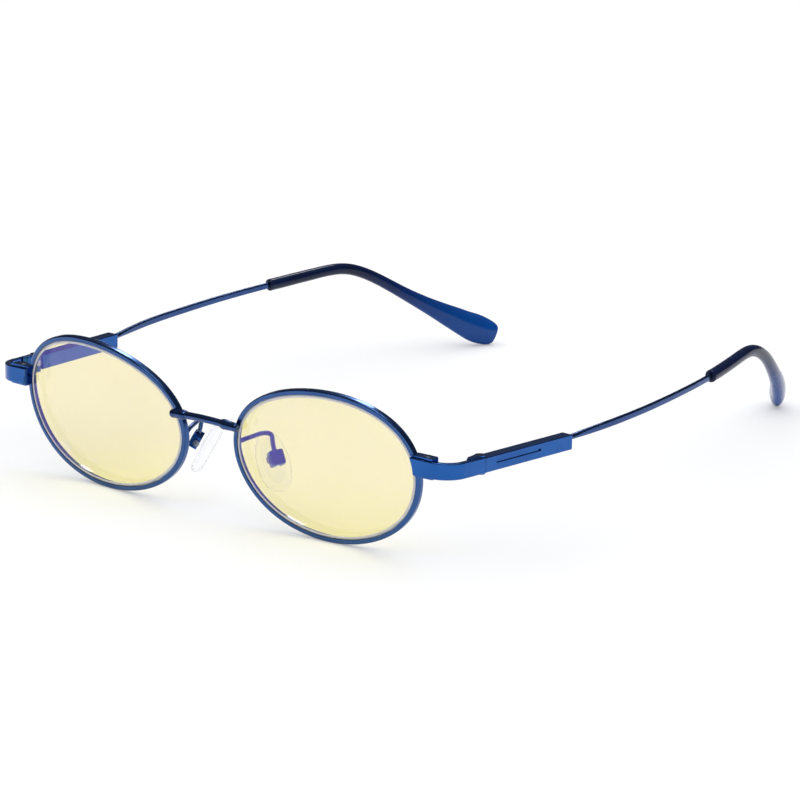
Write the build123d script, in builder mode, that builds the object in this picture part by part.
"""Full-rim metal eyeglasses with sprung hinges, one STEP file for each piece.

The glasses stand open on a table: +Z up, +Y from the front to the ear tips,
X = 0 is the plane of symmetry, the wearer's left side is +X.
The left side and the bridge are modelled; the right side is mirrored. Sizes in mm.
"""
from build123d import *
import os
from math import sin, cos, radians, sqrt, pi

os.makedirs("parts", exist_ok=True)

# ---------------------------------------------------------------- driving sizes
front_y = -75.43         # where the middle of the front plane stands
lift_z = 0.095           # height that brings the lowest rim edge onto the table
play = 0.02              # room round a wire or eyewire that another piece is fitted to

# lens outline and lens
lens_centre_x = 31.56    # half the distance between the two lens centres
lens_centre_z = 16.76
lens_half_w = 23.5       # visible opening, half width
lens_half_h = 16.13      # visible opening, half height
lens_power = 1.966       # superellipse power of the oval
lens_turn = 0.0494       # slight turn of the oval in its own plane (rad)
egg_cos_3 = -0.0123      # departures of the outline from the superellipse, by harmonic
egg_sin_3 = 0.0096
egg_cos_4 = -0.010
wrap = 0.064             # face wrap of each lens plane (rad)
lean = -0.1192           # the top of the front leans forward (rad)
base_radius = 105.0      # front curve of the lens and eyewire
lens_set_back = 0.25     # lens front behind the eyewire front
lens_thick = 1.7

# eyewire
rim_wide = 1.05          # section, radial
rim_deep = 1.5           # section, front to back
rim_round = 0.36         # radius of the outer corners
groove_deep = 0.5
groove_front, groove_mid, groove_rear = 0.4, 0.8, 1.2   # behind the eyewire front
rim_gap = 0.25           # height between the two halves of the closing block
gap_theta = 0.1880       # oval angle of the opening of the eyewire (rad)
gap_half = 0.0083        # half the opening (rad)
stations = 26            # steps of the loft once round the lens

# bridge
bridge_r = 0.8
ferrule_r = 1.1

# end piece, a flat bar
bar_thick = 1.3
bar_start = (54.0, 1.84)
bar_heading = 6.0        # degrees from +X at the rim
bar_first = 5.1          # straight length before the bend
bar_bend = 5.8           # outer bend radius
temple_heading = 86.7    # degrees from +X, direction of the temple in plan
bar_tail = 6.3           # straight length after the bend

# hinge
seam_z = 20.43           # height of the hinge middle
axis_inset = 1.6         # hinge axis inward of the outer face
temple_drop = 1.66       # degrees the housing slopes down to the rear
knuckle_r = 1.2
knuckle_half = 2.0       # half height of the barrel
knuckle_play = 0.05
mid_half = 0.63          # half height of the middle knuckle
mid_room = 0.65          # half height of the room for it
screw_r = 0.5
screw_head_r = 0.85
screw_head_deep = 0.45

# sprung slider: distances run back from the hinge axis
rod_out = 0.2            # slider axis outward of the hinge axis
rod_r = 0.35
rod_from = 2.5
rod_long = 8.7
slider_wide, slider_long = 2.0, 3.0
nut_r, nut_long = 0.58, 1.0
guide_from, guide_long = 3.15, 1.85
pocket_wide, pocket_high = 2.06, 1.32
pocket_from = -0.5
pocket_end = guide_from + guide_long
spring_from, spring_long = 5.17, 4.85
spring_r, spring_pitch, spring_wire_r = 0.5, 0.62, 0.09
bore_from, bore_long, bore_r = 4.9, 7.9, 0.63

# temple housing
housing_long = 27.6
housing_half_h = 1.65
housing_in = -1.2        # inner face, measured outward from the hinge axis
seam = 0.08
outer_groove_long, outer_groove_wide, outer_groove_deep = 14.0, 0.56, 0.32


def at(x, y, z):
    """World point of coordinates measured from the front plane and the table."""
    return Vector(x, y + front_y, z + lift_z)


# ---------------------------------------------------------------- lens plane and outline
across = Vector(cos(wrap), sin(wrap), 0)
forward = across.cross(Vector(0, sin(lean), cos(lean))).normalized()
lens_plane = Plane(
    origin=at(lens_centre_x, 0, lens_centre_z), x_dir=across, z_dir=forward
)
curve_centre = lens_plane.offset(-base_radius)


def oval(theta):
    """Point of the lens outline in the lens plane: u outward to the side, v up."""
    cosine, sine = cos(theta), sin(theta)
    u = lens_half_w * (1 if cosine >= 0 else -1) * abs(cosine) ** (2 / lens_power)
    v = lens_half_h * (1 if sine >= 0 else -1) * abs(sine) ** (2 / lens_power)
    egg = (
        1
        + egg_cos_3 * cos(3 * theta)
        + egg_sin_3 * sin(3 * theta)
        + egg_cos_4 * cos(4 * theta)
    )
    u, v = u * egg, v * egg
    return (
        u * cos(lens_turn) - v * sin(lens_turn),
        u * sin(lens_turn) + v * cos(lens_turn),
    )


def oval_points(out, count=22):
    """Points of the lens outline, moved outward by `out` along its own normal."""
    points = []
    for i in range(count):
        theta = 2 * pi * (i + 0.5) / count
        u, v = oval(theta)
        next_u, next_v = oval(theta + 1e-3)
        last_u, last_v = oval(theta - 1e-3)
        along_u, along_v = next_u - last_u, next_v - last_v
        size = sqrt(along_u * along_u + along_v * along_v)
        points.append((u + out * along_v / size, v - out * along_u / size))
    return points


def on_curve(u, v):
    """World point over (u, v) of the lens plane, on the base curve."""
    sag = base_radius - sqrt(base_radius**2 - u * u - v * v)
    return lens_plane.from_local_coords(Vector(u, v, -sag))


def run_plane(theta):
    """Section plane across the eyewire: local x outward, local y toward the rear."""
    along = on_curve(*oval(theta + 1e-3)) - on_curve(*oval(theta - 1e-3))
    return Plane(origin=on_curve(*oval(theta)), x_dir=along.cross(forward), z_dir=along)


# ---------------------------------------------------------------- eyewire
# it runs once round the lens and is open inside the closing block
run_angles = [
    gap_theta + gap_half + (2 * pi - 2 * gap_half) * i / stations
    for i in range(stations + 1)
]

with BuildPart() as rim:
    for theta in run_angles:
        with BuildSketch(run_plane(theta)):
            with BuildLine():
                FilletPolyline(
                    (0, 0), (rim_wide, 0), (rim_wide, rim_deep), (0, rim_deep),
                    radius=rim_round,
                )
                Polyline(
                    (0, rim_deep), (0, groove_rear), (groove_deep, groove_mid),
                    (0, groove_front), (0, 0),
                )
            make_face()
    loft()

# everything inside the middle of the eyewire, cut from the pieces outside it
with BuildPart() as rim_plug:
    with BuildSketch(lens_plane.offset(-14)):
        with BuildLine():
            Spline(*oval_points(rim_wide - 0.3), periodic=True)
        make_face()
    extrude(amount=24)


def rim_room(first_angle, count, inside):
    """Stretch of eyewire without the groove, a hair larger, `inside` mm into the lens."""
    wide, deep = rim_wide + play, rim_deep + play
    corners = (-inside, -play), (wide, -play), (wide, deep), (-inside, deep)
    with BuildPart() as room:
        for i in range(count):
            with BuildSketch(run_plane(first_angle + 0.15 * i)):
                with BuildLine():
                    hug = FilletPolyline(*corners, radius=rim_round)
                    Line(hug @ 1, hug @ 0)
                make_face()
        loft()
    return room.part


rim_room_side = rim_room(first_angle=-0.42, count=9, inside=1.2)
rim_room_nose = rim_room(first_angle=pi - 0.75, count=10, inside=play)

# ---------------------------------------------------------------- lens
lens_edge = -0.05        # rim of the lens disc, outward of the outline
bevel_front, bevel_rear = 0.45, 1.15    # behind the eyewire front

# bevelled edge that holds the lens in the groove
with BuildPart() as lens_bevel:
    for theta in run_angles:
        with BuildSketch(run_plane(theta)):
            with BuildLine():
                Polyline(
                    (-0.5, bevel_front), (lens_edge, bevel_front),
                    (groove_deep - 0.07, groove_mid),
                    (lens_edge, bevel_rear), (-0.5, bevel_rear), (-0.5, bevel_front),
                )
            make_face()
    loft()

with BuildPart() as lens:
    with BuildSketch(lens_plane.offset(-8)):
        with BuildLine():
            Spline(*oval_points(lens_edge), periodic=True)
        make_face()
    extrude(amount=10)
    with Locations(curve_centre.location):
        Sphere(base_radius - lens_set_back, rotation=(90, 0, 0), mode=Mode.INTERSECT)
        Sphere(
            base_radius - lens_set_back - lens_thick,
            rotation=(90, 0, 0),
            mode=Mode.SUBTRACT,
        )
    add(lens_bevel.part)

# ---------------------------------------------------------------- bridge
# centre line from the right eyewire to the left: x, y, z
bridge_course = [
    (-8.9, -0.30, 21.60),
    (-5.2, -0.45, 21.85),
    (0.0, -0.75, 22.10),
    (5.2, -0.45, 21.85),
    (8.9, -0.30, 21.60),
]
with BuildLine():
    span = Spline(*[at(*point) for point in bridge_course])


def bridge_rod(radius):
    """Round rod along the bridge's centre line."""
    with BuildPart() as rod:
        with BuildSketch(Plane(origin=span @ 0, z_dir=span % 0)):
            Circle(radius)
        sweep(path=span)
    return rod.part


bridge_wire = bridge_rod(bridge_r)
bridge_room = bridge_rod(bridge_r + play)

# sleeve round each end of the bridge wire
sleeve_start, sleeve_end = at(4.9, -0.47, 21.87), at(9.4, -0.28, 21.56)
sleeve_long = (sleeve_end - sleeve_start).length
sleeve_dir = (sleeve_end - sleeve_start).normalized()
mouth_r, tail_r = 0.86, 0.55
with BuildPart() as bridge_ferrule:
    # local x runs along the sleeve, local y is the radius
    with BuildSketch(Plane(origin=sleeve_start, x_dir=sleeve_dir, z_dir=forward)):
        with BuildLine():
            Polyline((0, 0), (0, mouth_r))
            Spline(
                (0, mouth_r), (0.55, 1.08), (1.7, ferrule_r), (3.4, 0.98),
                (sleeve_long - 0.3, 0.88), (sleeve_long, tail_r),
            )
            Polyline((sleeve_long, tail_r), (sleeve_long, 0), (0, 0))
        make_face()
    revolve(axis=Axis(sleeve_start, sleeve_dir))
    add(bridge_room, mode=Mode.SUBTRACT)
    add(rim_room_nose, mode=Mode.SUBTRACT)

# ---------------------------------------------------------------- bar outline in plan
rim_dir = Vector(cos(radians(bar_heading)), sin(radians(bar_heading)))
temple_dir = Vector(cos(radians(temple_heading)), sin(radians(temple_heading)))
bar_turn = temple_heading - bar_heading


def bar_path(inward):
    """Start, bend start, bend end and end of the bar's outer face moved inward."""
    start_normal = Vector(-rim_dir.Y, rim_dir.X)
    end_normal = Vector(-temple_dir.Y, temple_dir.X)
    start = Vector(*bar_start) + start_normal * inward
    bend_start = start + rim_dir * bar_first
    centre = bend_start + start_normal * (bar_bend - inward)
    bend_end = centre - end_normal * (bar_bend - inward)
    return start, bend_start, bend_end, bend_end + temple_dir * bar_tail


outer_start, outer_bend, _, outer_end = bar_path(0)
inner_start, inner_bend, inner_bend_end, inner_end = bar_path(bar_thick)

# ---------------------------------------------------------------- hinge frame
# x outward, y back along the temple, z up the hinge axis
outward = Vector(temple_dir.Y, -temple_dir.X, 0)
back = Vector(
    temple_dir.X * cos(radians(temple_drop)),
    temple_dir.Y * cos(radians(temple_drop)),
    -sin(radians(temple_drop)),
)
axis_up = outward.cross(back)
hinge_origin = at(outer_end.X, outer_end.Y, seam_z) - outward * axis_inset
hinge = Plane(origin=hinge_origin, x_dir=outward, z_dir=axis_up)


def hinge_at(out, rear, up):
    """World point of hinge-frame coordinates."""
    return hinge_origin + outward * out + back * rear + axis_up * up


def slider_plane(rear):
    """Plane across the slider axis, `rear` mm behind the hinge axis."""
    return Plane(origin=hinge_at(rod_out, rear, 0), x_dir=outward, z_dir=back)


# ---------------------------------------------------------------- end piece
# upper and lower edges of the bar, taller where it meets the eyewire:
# each is a plane through these places (x, y) at three heights
bar_places = [(54.6, 1.9), (62.0, 3.7), (64.6, 14.0)]
bar_top = (22.97, 22.62, 22.10)
bar_low = (19.27, 19.08, 18.76)


def bar_edge_plane(heights):
    first, middle, last = [at(x, y, z) for (x, y), z in zip(bar_places, heights)]
    return Plane(origin=first, z_dir=(middle - first).cross(last - first).normalized())


with BuildPart() as end_piece:
    with BuildSketch(Plane(origin=(0, front_y, 10))):
        with BuildLine():
            first_run = Line(outer_start, outer_bend)
            bend = JernArc(first_run @ 1, first_run % 1, bar_bend, bar_turn)
            Line(bend @ 1, outer_end)
            Line(outer_end, inner_end)
            Line(inner_end, inner_bend_end)
            JernArc(inner_bend, rim_dir, bar_bend - bar_thick, bar_turn)
            Line(inner_bend, inner_start)
            Line(inner_start, outer_start)
        make_face()
    extrude(amount=20)
    split(bisect_by=bar_edge_plane(bar_top), keep=Keep.BOTTOM)
    split(bisect_by=bar_edge_plane(bar_low), keep=Keep.TOP)
    # long upper and lower edges of the bar are rounded
    fillet(
        [
            edge for edge in end_piece.edges()
            if edge.length > 3.6 and abs((edge % 0.5).Z) < 0.4
        ],
        radius=0.2,
    )
    add(rim_plug.part, mode=Mode.SUBTRACT)
    # seat of the barrel in the inner face of the bar, with room for the turning knuckle
    with BuildSketch(hinge.offset(-knuckle_half - knuckle_play)):
        Circle(knuckle_r)
    extrude(amount=2 * (knuckle_half + knuckle_play), mode=Mode.SUBTRACT)
    with BuildSketch(hinge.offset(-mid_room)):
        Circle(knuckle_r + knuckle_play)
    extrude(amount=2 * mid_room, mode=Mode.SUBTRACT)
    # the bar ends square at the seam
    with BuildSketch(hinge.offset(-5)):
        with Locations((0, 5)):
            Rectangle(12, 10)
    extrude(amount=10, mode=Mode.SUBTRACT)
    add(rim_room_side, mode=Mode.SUBTRACT)

# ---------------------------------------------------------------- front knuckles
# web from the barrel to the bar: outward, back
knuckle_web = [
    (0.9, 0.0), (0.9, -1.0), (0.9, -4.6), (0.0, -4.2), (-0.7, -3.2), (-1.2, 0.0), (0.9, 0.0),
]
with BuildPart() as hinge_front:
    with BuildSketch(hinge.offset(-knuckle_half)):
        Circle(knuckle_r)
        with BuildLine():
            Polyline(*knuckle_web)
        make_face()
    extrude(amount=2 * knuckle_half)
    with BuildSketch(hinge.offset(-mid_room)):
        Circle(knuckle_r + knuckle_play)
        with Locations((0, 2)):
            Rectangle(4, 4)
        # room for the arm of the slider when the temple is folded in
        with Locations((-2.0, 0.0)):
            Rectangle(3.0, 2.0)
    extrude(amount=2 * mid_room, mode=Mode.SUBTRACT)
    # top and bottom edges of the web
    fillet(
        [
            edge for edge in hinge_front.edges()
            if (edge @ 0.5 - hinge_at(0, -3.6, 0)).length < 3.0
            and abs((edge @ 0.5 - hinge_origin).dot(axis_up)) > 1.9
            and edge.length < 6
        ],
        radius=0.25,
    )
    add(end_piece.part, mode=Mode.SUBTRACT)
    # hole of the screw through both knuckles, and the seat of its head in the upper one
    with BuildSketch(hinge.offset(-knuckle_half - 0.1)):
        Circle(screw_r)
    extrude(amount=2 * knuckle_half + 0.2, mode=Mode.SUBTRACT)
    with BuildSketch(hinge.offset(knuckle_half - screw_head_deep)):
        Circle(screw_head_r + 0.02)
    extrude(amount=0.6, mode=Mode.SUBTRACT)

with BuildPart() as hinge_screw:
    with BuildSketch(hinge.offset(-knuckle_half + 0.05)):
        Circle(screw_r)
    extrude(amount=2 * knuckle_half - 0.05)
    with BuildSketch(hinge.offset(knuckle_half - screw_head_deep)):
        Circle(screw_head_r)
    extrude(amount=screw_head_deep)
    # driver slot
    with BuildSketch(hinge.offset(knuckle_half - 0.2)):
        Rectangle(2, 0.28)
    extrude(amount=0.3, mode=Mode.SUBTRACT)

# ---------------------------------------------------------------- sprung slider
# middle knuckle, its arm and the rod that carries the spring
with BuildPart() as hinge_slider:
    with BuildSketch(hinge.offset(-mid_half)):
        Circle(knuckle_r)
        with Locations((rod_out, slider_long / 2)):
            Rectangle(slider_wide, slider_long)
    extrude(amount=2 * mid_half)
    with BuildSketch(slider_plane(rod_from)):
        Circle(rod_r)
    extrude(amount=rod_long)
    with BuildSketch(hinge.offset(-1)):
        Circle(screw_r + 0.03)
    extrude(amount=2, mode=Mode.SUBTRACT)

# nut, flush with the rear end of the rod
with BuildPart() as slider_nut:
    with BuildSketch(slider_plane(rod_from + rod_long - nut_long)):
        Circle(nut_r)
        Circle(rod_r, mode=Mode.SUBTRACT)
    extrude(amount=nut_long)

with BuildPart() as slider_guide:
    with BuildSketch(slider_plane(guide_from)):
        Rectangle(pocket_wide, pocket_high)
        Circle(rod_r + 0.03, mode=Mode.SUBTRACT)
    extrude(amount=guide_long)

with BuildPart() as hinge_spring:
    with BuildLine():
        coil = Helix(
            pitch=spring_pitch,
            height=spring_long,
            radius=spring_r,
            center=slider_plane(spring_from).origin,
            direction=back,
        )
    with BuildSketch(Plane(origin=coil @ 0, z_dir=coil % 0)):
        Circle(spring_wire_r)
    sweep(path=coil, is_frenet=True)

# ---------------------------------------------------------------- temple centre line
wire_lift = 0.62         # the wire leaves the housing above its middle
# course behind the housing, over the ear and down to the end of the tip: x, y, z
temple_course = [
    (66.15, 54.0, 20.86),
    (66.30, 66.0, 21.26),
    (65.60, 79.0, 21.74),
    (63.80, 93.7, 22.25),
    (60.95, 108.0, 22.92),
    (59.05, 116.2, 22.72),
    (57.20, 123.3, 20.05),
    (53.90, 131.6, 14.75),
    (47.30, 143.8, 6.75),
    (43.10, 149.5, 3.24),
    (41.50, 151.3, 2.36),
]
with BuildLine():
    temple_line = Spline(
        hinge_at(rod_out, housing_long, wire_lift),
        *[at(*point) for point in temple_course],
        tangents=(Vector(0.125, 1.0, 0.052), Vector(-0.6, 0.7, -0.35)),
    )


def line_plane(length):
    """Plane across the temple's centre line: x is thickness, y is height."""
    point = temple_line.position_at(length, position_mode=PositionMode.LENGTH)
    along = temple_line.tangent_at(length, position_mode=PositionMode.LENGTH)
    return Plane(origin=point, x_dir=along.cross(Vector(0, 0, 1)), z_dir=along)


def sized(table, length):
    """Row of `table` at a length, straight between the rows given."""
    for low, high in zip(table, table[1:]):
        if length <= high[0]:
            break
    share = (length - low[0]) / (high[0] - low[0])
    return [start + (end - start) * share for start, end in zip(low[1:], high[1:])]


# ---------------------------------------------------------------- temple wire
wire_long = 98.0
wire_steps = 26
root_size, root_corner = 1.24, 0.60
root_long = 7            # length of the root inside the housing
# length along the line, height, thickness, corner radius
wire_stations = [
    (0.0, root_size, root_size, root_corner),
    (1.5, 1.24, 1.20, 0.57),
    (6.5, 1.50, 0.92, 0.40),
    (13.0, 1.60, 0.86, 0.36),
    (24.0, 1.56, 0.85, 0.36),
    (36.0, 1.50, 0.85, 0.36),
    (46.0, 1.46, 0.85, 0.36),
    (54.0, 1.42, 0.85, 0.36),
    (66.0, 1.20, 0.85, 0.36),
    (76.0, 1.20, 0.85, 0.36),
    (83.0, 1.20, 0.85, 0.36),
    (90.0, 1.20, 0.85, 0.36),
    (wire_long, 1.20, 0.85, 0.36),
]
wire_cuts = []           # plane, height, thickness, corner radius
for i in range(wire_steps + 1):
    length = wire_long * i / wire_steps
    height, thick, corner = sized(wire_stations, length)
    wire_cuts.append((line_plane(length), height, thick, min(corner, thick / 2 - 0.02)))

with BuildPart() as temple_wire:
    for plane, height, thick, corner in wire_cuts:
        with BuildSketch(plane):
            RectangleRounded(thick, height, corner)
    loft()
    # round root, soldered into the rear of the housing
    with BuildSketch(line_plane(0)):
        RectangleRounded(root_size, root_size, root_corner)
    extrude(amount=-root_long)

# ---------------------------------------------------------------- temple housing
with BuildPart() as temple_housing:
    with BuildSketch(Plane(origin=hinge_at(0, seam, 0), x_dir=outward, z_dir=back)):
        with Locations(((axis_inset + housing_in) / 2, 0)):
            Rectangle(axis_inset - housing_in, 2 * housing_half_h)
    extrude(amount=housing_long - seam)
    rear_face = temple_housing.faces().sort_by(Axis.Y)[-1]
    fillet(rear_face.edges(), radius=0.5)
    fillet([edge for edge in temple_housing.edges() if edge.length > 20], radius=0.22)
    # room round the barrel, and an open inner corner so that the temple can fold
    with BuildSketch(hinge.offset(-3)):
        Circle(knuckle_r + 0.04)
        with Locations((-1.0, 0.25)):
            Rectangle(2.0, 2.0)
    extrude(amount=6, mode=Mode.SUBTRACT)
    # pocket of the slider and its guide
    with BuildSketch(slider_plane(pocket_from)):
        Rectangle(pocket_wide, pocket_high)
    extrude(amount=pocket_end - pocket_from, mode=Mode.SUBTRACT)
    # spring bore
    with BuildSketch(slider_plane(bore_from)):
        Circle(bore_r)
    extrude(amount=bore_long, mode=Mode.SUBTRACT)
    # long ornamental groove in the outer face
    with BuildSketch(Plane(origin=hinge_at(axis_inset, 10.3, 0.2), x_dir=back, z_dir=outward)):
        SlotOverall(outer_groove_long, outer_groove_wide)
    extrude(amount=-outer_groove_deep, mode=Mode.SUBTRACT)
    add(temple_wire.part, mode=Mode.SUBTRACT)

# ---------------------------------------------------------------- temple tip
tip_from = 52.6          # length along the line at which the tip begins
# length from the mouth of the tip, width, thickness
tip_stations = [
    (0.0, 2.86, 2.70),
    (9.0, 2.76, 2.64),
    (18.0, 2.68, 2.60),
    (25.0, 2.66, 2.60),
    (32.0, 2.70, 2.62),
    (38.0, 2.80, 2.68),
    (44.0, 3.20, 2.80),
    (49.0, 3.95, 3.00),
    (54.0, 5.00, 3.25),
    (58.5, 6.15, 3.50),
    (62.5, 6.90, 3.60),
    (65.3, 6.55, 3.35),
    (67.2, 5.10, 2.60),
    (68.2, 3.20, 1.60),
]
# even sections as far as 60 mm, closer ones round the end
tip_sections = [60.0 * i / 17 for i in range(18)] + [62.5, 64.4, 65.8, 67.2, 68.2]

# room of the wire inside the tip
with BuildPart() as wire_room:
    for plane, height, thick, corner in wire_cuts[10:]:
        with BuildSketch(plane):
            RectangleRounded(thick + 2 * play, height + 2 * play, corner + play)
    loft()
    # the blind hole of the tip is a little deeper than the wire is long
    with BuildSketch(line_plane(wire_long)):
        RectangleRounded(0.85 + 2 * play, 1.2 + 2 * play, 0.38)
    extrude(amount=0.2)

with BuildPart() as temple_tip:
    for length in tip_sections:
        width, thick = sized(tip_stations, length)
        with BuildSketch(line_plane(tip_from + length)):
            Ellipse(thick / 2, width / 2)
    loft()
    mouth = temple_tip.edges().sort_by(Axis.Y)[0]
    fillet(mouth, radius=0.35)
    add(wire_room.part, mode=Mode.SUBTRACT)

# ---------------------------------------------------------------- closing block
# block behind the end piece, in two halves that a screw draws together
split_z = 21.1
block_low, block_high = 18.85, 4.45     # underside, and height above it
closing_x, closing_y = 57.3, 4.3        # screw axis
closing_r = 0.52
closing_head_r = 0.87
closing_low, closing_seat = 19.0, 22.9  # lower end of the screw, underside of its head
# block in plan: x, y
block_outline = [
    (53.5, 2.6), (59.5, 2.9), (59.5, 4.9), (59.1, 5.35), (53.5, 5.35), (53.5, 2.6),
]


def closing_plane(z):
    """Level plane on the closing screw's axis."""
    return Plane(origin=at(closing_x, closing_y, z))


with BuildPart() as closing_block:
    with BuildSketch(Plane(origin=at(0, 0, block_low))):
        with BuildLine():
            Polyline(*block_outline)
        make_face()
    extrude(amount=block_high)
    # rear edges of the top
    fillet(
        closing_block.faces().sort_by(Axis.Z)[-1].edges().filter_by(
            lambda edge: (edge @ 0.5).Y > front_y + 3.5
        ),
        radius=0.2,
    )
    add(rim_plug.part, mode=Mode.SUBTRACT)
    add(rim_room_side, mode=Mode.SUBTRACT)
    add(end_piece.part, mode=Mode.SUBTRACT)

with BuildPart() as closing_block_upper:
    add(closing_block.part)
    split(bisect_by=Plane(origin=at(0, 0, split_z + rim_gap / 2)), keep=Keep.TOP)
    with BuildSketch(closing_plane(18)):
        Circle(closing_r + 0.05)
    extrude(amount=8, mode=Mode.SUBTRACT)
    with BuildSketch(closing_plane(closing_seat)):
        Circle(closing_head_r + 0.03)
    extrude(amount=2, mode=Mode.SUBTRACT)

with BuildPart() as closing_block_lower:
    add(closing_block.part)
    split(bisect_by=Plane(origin=at(0, 0, split_z - rim_gap / 2)), keep=Keep.BOTTOM)
    with BuildSketch(closing_plane(18)):
        Circle(closing_r)
    extrude(amount=8, mode=Mode.SUBTRACT)

with BuildPart() as closing_screw:
    with BuildSketch(closing_plane(closing_low)):
        Circle(closing_r)
    extrude(amount=4.1)
    with BuildSketch(closing_plane(closing_seat)):
        Circle(closing_head_r)
    extrude(amount=0.5)
    fillet(
        closing_screw.edges().filter_by(GeomType.CIRCLE).sort_by(Axis.Z)[-1], radius=0.15
    )
    # driver slot
    with BuildSketch(closing_plane(23.2)):
        Rectangle(2.2, 0.26)
    extrude(amount=0.4, mode=Mode.SUBTRACT)

# ---------------------------------------------------------------- nose pad frame
pad_screw_at = at(11.1, 10.0, 12.9)
pad_up = Vector(-0.466, 0.149, 0.872).normalized()
pad_level = Vector(-cos(radians(28)), sin(radians(28)), 0)
pad_in = (pad_level - pad_up * pad_level.dot(pad_up)).normalized()   # toward the nose
pad_wide = pad_up.cross(pad_in).normalized()
# looking along pad_in, local y up the pad
pad_face = Plane(origin=pad_screw_at, x_dir=pad_wide, z_dir=pad_in)
# across the screw: local x up the pad, local y toward the nose
pad_side = Plane(origin=pad_screw_at, x_dir=pad_up, z_dir=pad_wide)

box_wide, box_high, box_deep = 3.2, 3.4, 2.1
pad_screw_r = 0.42
stem_r = 0.85            # rounded end of the core's stem
stem_thick = 1.0
stem_long = 1.8
core_half_w, core_half_h = 2.3, 4.9
core_from, core_thick = 1.65, 0.8
core_room = 0.07         # room round the core inside the pad

# ---------------------------------------------------------------- nose pad pieces
with BuildPart() as pad_box:
    with BuildSketch(pad_face.offset(-1.5)):
        RectangleRounded(box_wide, box_high, 0.5)
    extrude(amount=box_deep)
    # edges of the face away from the nose
    fillet(
        pad_box.faces().sort_by(
            lambda face: (face.center() - pad_screw_at).dot(pad_in)
        )[0].edges(),
        radius=0.35,
    )
    # slot for the stem of the core
    with BuildSketch(pad_face.offset(-1.0)):
        Rectangle(1.06, 6)
    extrude(amount=3, mode=Mode.SUBTRACT)
    with BuildSketch(pad_side.offset(-3)):
        Circle(pad_screw_r)
    extrude(amount=6, mode=Mode.SUBTRACT)

with BuildPart() as pad_screw:
    with BuildSketch(pad_side.offset(-box_wide / 2)):
        Circle(pad_screw_r)
    extrude(amount=box_wide)
    with BuildSketch(pad_side.offset(box_wide / 2)):
        Circle(0.75)
    extrude(amount=0.35)
    # driver slot
    with BuildSketch(pad_side.offset(box_wide / 2 + 0.15)):
        Rectangle(2, 0.22)
    extrude(amount=0.4, mode=Mode.SUBTRACT)

# wire from the eyewire back and down to the box: x, y, z
arm_course = [
    (7.10, 2.45, 17.50),
    (7.45, 3.5, 17.80),
    (8.20, 6.2, 18.22),
    (9.25, 8.95, 18.44),
    (9.86, 9.90, 17.95),
    (10.13, 10.00, 16.90),
    (10.45, 9.93, 15.4),
]
arm_end = pad_screw_at + pad_up * 1.2 + pad_in * -0.75
with BuildPart() as pad_arm:
    with BuildLine():
        arm = Spline(*[at(*point) for point in arm_course], arm_end)
    with BuildSketch(Plane(origin=arm @ 0, z_dir=arm % 0)):
        Circle(0.5)
    sweep(path=arm)
    add(rim_room_nose, mode=Mode.SUBTRACT)
    add(pad_box.part, mode=Mode.SUBTRACT)

# stem on the screw, with an oval plate inside the pad
with BuildPart() as pad_core:
    with BuildSketch(pad_side.offset(-stem_thick / 2)):
        Circle(stem_r)
        with Locations((0, stem_long / 2)):
            Rectangle(2 * stem_r, stem_long)
    extrude(amount=stem_thick)
    with BuildSketch(pad_face.offset(core_from)):
        Ellipse(core_half_w, core_half_h)
    extrude(amount=core_thick)
    with BuildSketch(pad_side.offset(-2)):
        Circle(pad_screw_r + 0.03)
    extrude(amount=4, mode=Mode.SUBTRACT)

with BuildPart() as nose_pad:
    with BuildSketch(pad_face.offset(1.25)):
        Ellipse(3.7, 6.9)
    extrude(amount=2.9)
    fillet(nose_pad.edges(), radius=1.1)
    # pocket for the plate, and a slot for the stem
    with BuildSketch(pad_face.offset(core_from - core_room)):
        Ellipse(core_half_w + core_room, core_half_h + core_room)
    extrude(amount=core_thick + 2 * core_room, mode=Mode.SUBTRACT)
    with BuildSketch(pad_face.offset(1.0)):
        Rectangle(stem_thick + 2 * core_room, 2.6)
    extrude(amount=1.0, mode=Mode.SUBTRACT)

# ---------------------------------------------------------------- one file per piece
# pieces of the left side, each with a mirrored twin on the right
side_pieces = {
    "rim": rim,
    "lens": lens,
    "bridge_ferrule": bridge_ferrule,
    "end_piece": end_piece,
    "hinge_front": hinge_front,
    "hinge_screw": hinge_screw,
    "hinge_slider": hinge_slider,
    "slider_nut": slider_nut,
    "slider_guide": slider_guide,
    "hinge_spring": hinge_spring,
    "temple_housing": temple_housing,
    "temple_wire": temple_wire,
    "temple_tip": temple_tip,
    "closing_block_upper": closing_block_upper,
    "closing_block_lower": closing_block_lower,
    "closing_screw": closing_screw,
    "pad_arm": pad_arm,
    "pad_box": pad_box,
    "pad_screw": pad_screw,
    "pad_core": pad_core,
    "nose_pad": nose_pad,
}


def save(part, name):
    part.label = name
    export_step(part, f"parts/{name}.step")


save(bridge_wire, "bridge_wire")
for name, left in side_pieces.items():
    save(left.part, f"{name}_left")
    with BuildPart() as right:
        mirror(left.part, about=Plane.YZ)
    save(right.part, f"{name}_right")
